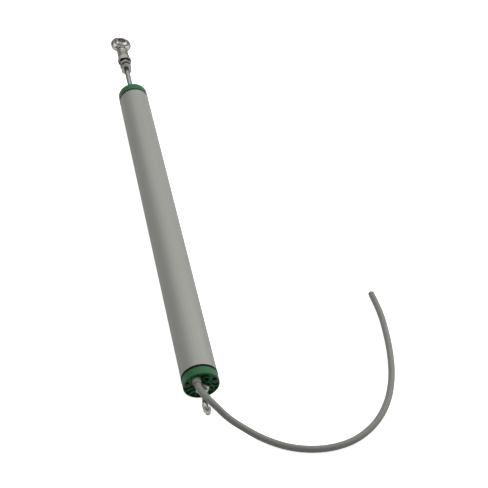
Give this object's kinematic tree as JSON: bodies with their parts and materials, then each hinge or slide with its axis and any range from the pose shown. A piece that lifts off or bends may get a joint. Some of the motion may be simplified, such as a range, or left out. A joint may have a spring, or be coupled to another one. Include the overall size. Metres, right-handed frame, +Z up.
{
  "type": "linear potentiometer displacement sensor",
  "caption": "Long round displacement sensor: tube case with end caps, sliding control rod, ball-joint eye at each end and a signal cable.",
  "frame": {"origin": "on the surface that the case rests on, under the case axis, midway between the tips of the two eyes at rest", "axes": "+Y along the case axis towards the control rod, +Z up"},
  "size_m": [0.2155, 0.6943, 0.035],
  "materials": {
    "anodised_tube": "matt natural anodised",
    "green_nylon": "moulded",
    "black_rubber": "moulded",
    "stainless": "ground",
    "plated_steel": "bright plated",
    "race_bronze": "plain",
    "brass": "machined",
    "cable_grey": "smooth sheath",
    "core_insulation": "smooth",
    "carriage_plastic": "moulded",
    "board_laminate": "laminate",
    "conductive_plastic": "printed film",
    "spring_metal": "plated"
  },
  "bodies": {
    "case": {"case_tube": "anodised_tube", "front_cap": "green_nylon", "rear_cap": "green_nylon", "front_gasket": "black_rubber", "rear_gasket": "black_rubber", "front_cap_screws": "plated_steel", "rear_cap_screws": "plated_steel", "bearing_carrier": "brass", "inner_bush": "race_bronze", "outer_bush": "race_bronze", "rod_wiper_seal": "black_rubber", "front_bumper": "black_rubber", "rear_stop": "black_rubber", "rear_insert": "plated_steel", "lower_lock_nut": "plated_steel", "lower_eye_housing": "plated_steel", "lower_eye_race": "race_bronze", "track_board": "board_laminate", "resistive_track": "conductive_plastic", "collector_track": "conductive_plastic", "solder_pins": "spring_metal", "lead_wires": "core_insulation", "cable_tail": "cable_grey", "cable_ferrule": "brass", "cable_grommet": "cable_grey", "signal_cable": "cable_grey", "cable_cores": "core_insulation"},
    "slider": {"slider_carriage": "carriage_plastic", "wiper_contacts": "spring_metal", "coupling_ring": "brass"},
    "rod": {"control_rod": "stainless", "coupling_ball": "stainless", "rod_lock_nut": "plated_steel", "eye_adapter": "plated_steel", "eye_lock_nut": "plated_steel", "upper_eye_housing": "plated_steel", "upper_eye_race": "race_bronze"},
    "rod_eye_ball": {"upper_eye_ball": "stainless"},
    "case_eye_ball": {"lower_eye_ball": "stainless"}
  },
  "joints": [
    {"name": "rod_slide", "type": "slide", "parent": "case", "child": "slider", "axis": [0, 1, 0], "range_m": [-0.015, 0.335]},
    {"name": "rod_turn", "type": "hinge", "parent": "slider", "child": "rod", "pos_m": [0, -0.2205, 0.0175], "axis": [0, 1, 0], "continuous": true},
    {"name": "rod_eye_tilt", "type": "hinge", "parent": "rod", "child": "rod_eye_ball", "pos_m": [0, 0.307, 0.0175], "axis": [0.9703, 0, -0.2419], "range_deg": [-13, 13]},
    {"name": "case_eye_tilt", "type": "hinge", "parent": "case", "child": "case_eye_ball", "pos_m": [0, -0.31375, 0.0175], "axis": [0.1392, 0, -0.9903], "range_deg": [-13, 13]}
  ]
}
